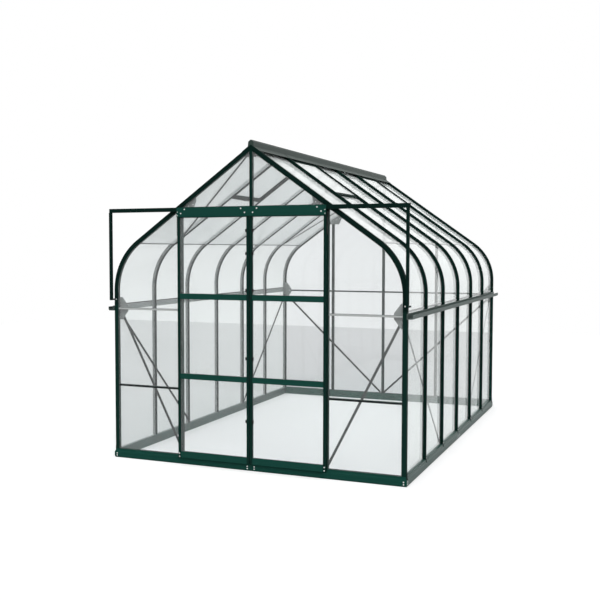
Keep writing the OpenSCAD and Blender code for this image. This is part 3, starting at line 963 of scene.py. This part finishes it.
# %% Floor
FLOOR_REACH, FLOOR_Z = 11.1, -0.0006
EYE_LIFT, GLASS_LIFT = 0.40, 0.10
floor_mesh = bpy.data.meshes.new("studio_floor")
corners = [(sx * FLOOR_REACH, sy * FLOOR_REACH, FLOOR_Z)
           for sx, sy in ((-1, -1), (1, -1), (1, 1), (-1, 1))]
floor_mesh.from_pydata(corners, [], [(0, 1, 2, 3)])
floor = bpy.data.objects.new("studio_floor", floor_mesh)
bpy.context.scene.collection.objects.link(floor)
pale, shader = material("studio_floor")
nodes, links = pale.node_tree.nodes, pale.node_tree.links
shader.inputs["Base Color"].default_value = (0.76, 0.76, 0.765, 1)
shader.inputs["Roughness"].default_value = 0.6
shader.inputs["Specular IOR Level"].default_value = 0.0
path = nodes.new("ShaderNodeLightPath")
through = nodes.new("ShaderNodeMath")
through.operation = "MAXIMUM"
links.new(path.outputs["Is Transmission Ray"], through.inputs[0])
links.new(path.outputs["Is Glossy Ray"], through.inputs[1])
small_lift = nodes.new("ShaderNodeMath")
small_lift.operation = "MULTIPLY"
small_lift.inputs[1].default_value = GLASS_LIFT
links.new(through.outputs["Value"], small_lift.inputs[0])
lift = nodes.new("ShaderNodeMath")
lift.operation = "MULTIPLY_ADD"
lift.inputs[1].default_value = EYE_LIFT
links.new(path.outputs["Is Camera Ray"], lift.inputs[0])
links.new(small_lift.outputs["Value"], lift.inputs[2])
shader.inputs["Emission Color"].default_value = (1, 1, 1, 1)
links.new(lift.outputs["Value"], shader.inputs["Emission Strength"])
floor_mesh.materials.append(pale)
print("floor placed")

# %% [markdown]
# The light is that of a white tent: soft from all round, with a large lamp in
# front and above so that the front of the bars is brighter than their sides.
# The tent is plain white to the eye, through glass and in reflections, but it
# lights the metal with less than half of that.

# %% Light
TENT_LIGHT, TENT_WHITE = 0.45, 1.0
world = bpy.data.worlds.new("tent")
bpy.context.scene.world = world
world.use_nodes = True
nodes, links = world.node_tree.nodes, world.node_tree.links
background = nodes["Background"]
path = nodes.new("ShaderNodeLightPath")
direct = nodes.new("ShaderNodeMath")
direct.operation = "MAXIMUM"
links.new(path.outputs["Is Camera Ray"], direct.inputs[0])
links.new(path.outputs["Is Transmission Ray"], direct.inputs[1])
seen = nodes.new("ShaderNodeMath")
seen.operation = "MAXIMUM"
links.new(direct.outputs["Value"], seen.inputs[0])
links.new(path.outputs["Is Glossy Ray"], seen.inputs[1])
level = nodes.new("ShaderNodeMapRange")
level.inputs["To Min"].default_value = TENT_LIGHT
level.inputs["To Max"].default_value = TENT_WHITE
links.new(seen.outputs["Value"], level.inputs["Value"])
background.inputs["Color"].default_value = (1, 1, 1, 1)
links.new(level.outputs["Result"], background.inputs["Strength"])

key_data = bpy.data.lights.new("key", "SUN")
key_data.energy = 1.9
key_data.angle = math.radians(50)
key = bpy.data.objects.new("key", key_data)
key.rotation_euler = Vector((-0.3, 0.75, -0.75)).to_track_quat("-Z", "Y").to_euler()
bpy.context.scene.collection.objects.link(key)
print("lamps: tent and key")

# %% [markdown]
# The camera stands in front and to the right at head height, and looks a
# little down at the doors.

# %% Camera
lens = bpy.data.cameras.new("camera")
lens.sensor_width = 36.0
lens.lens = 54.38
lens.shift_x = 0.0502
lens.shift_y = -0.0018
camera = bpy.data.objects.new("camera", lens)
camera.location = (2.9477, -8.3835, 1.7614)
camera.rotation_euler = (math.pi / 2 - 0.0545, 0.0, 0.4047)
bpy.context.scene.collection.objects.link(camera)
bpy.context.scene.camera = camera
bpy.context.scene.view_settings.view_transform = "Standard"
print("camera height:", camera.location.z)
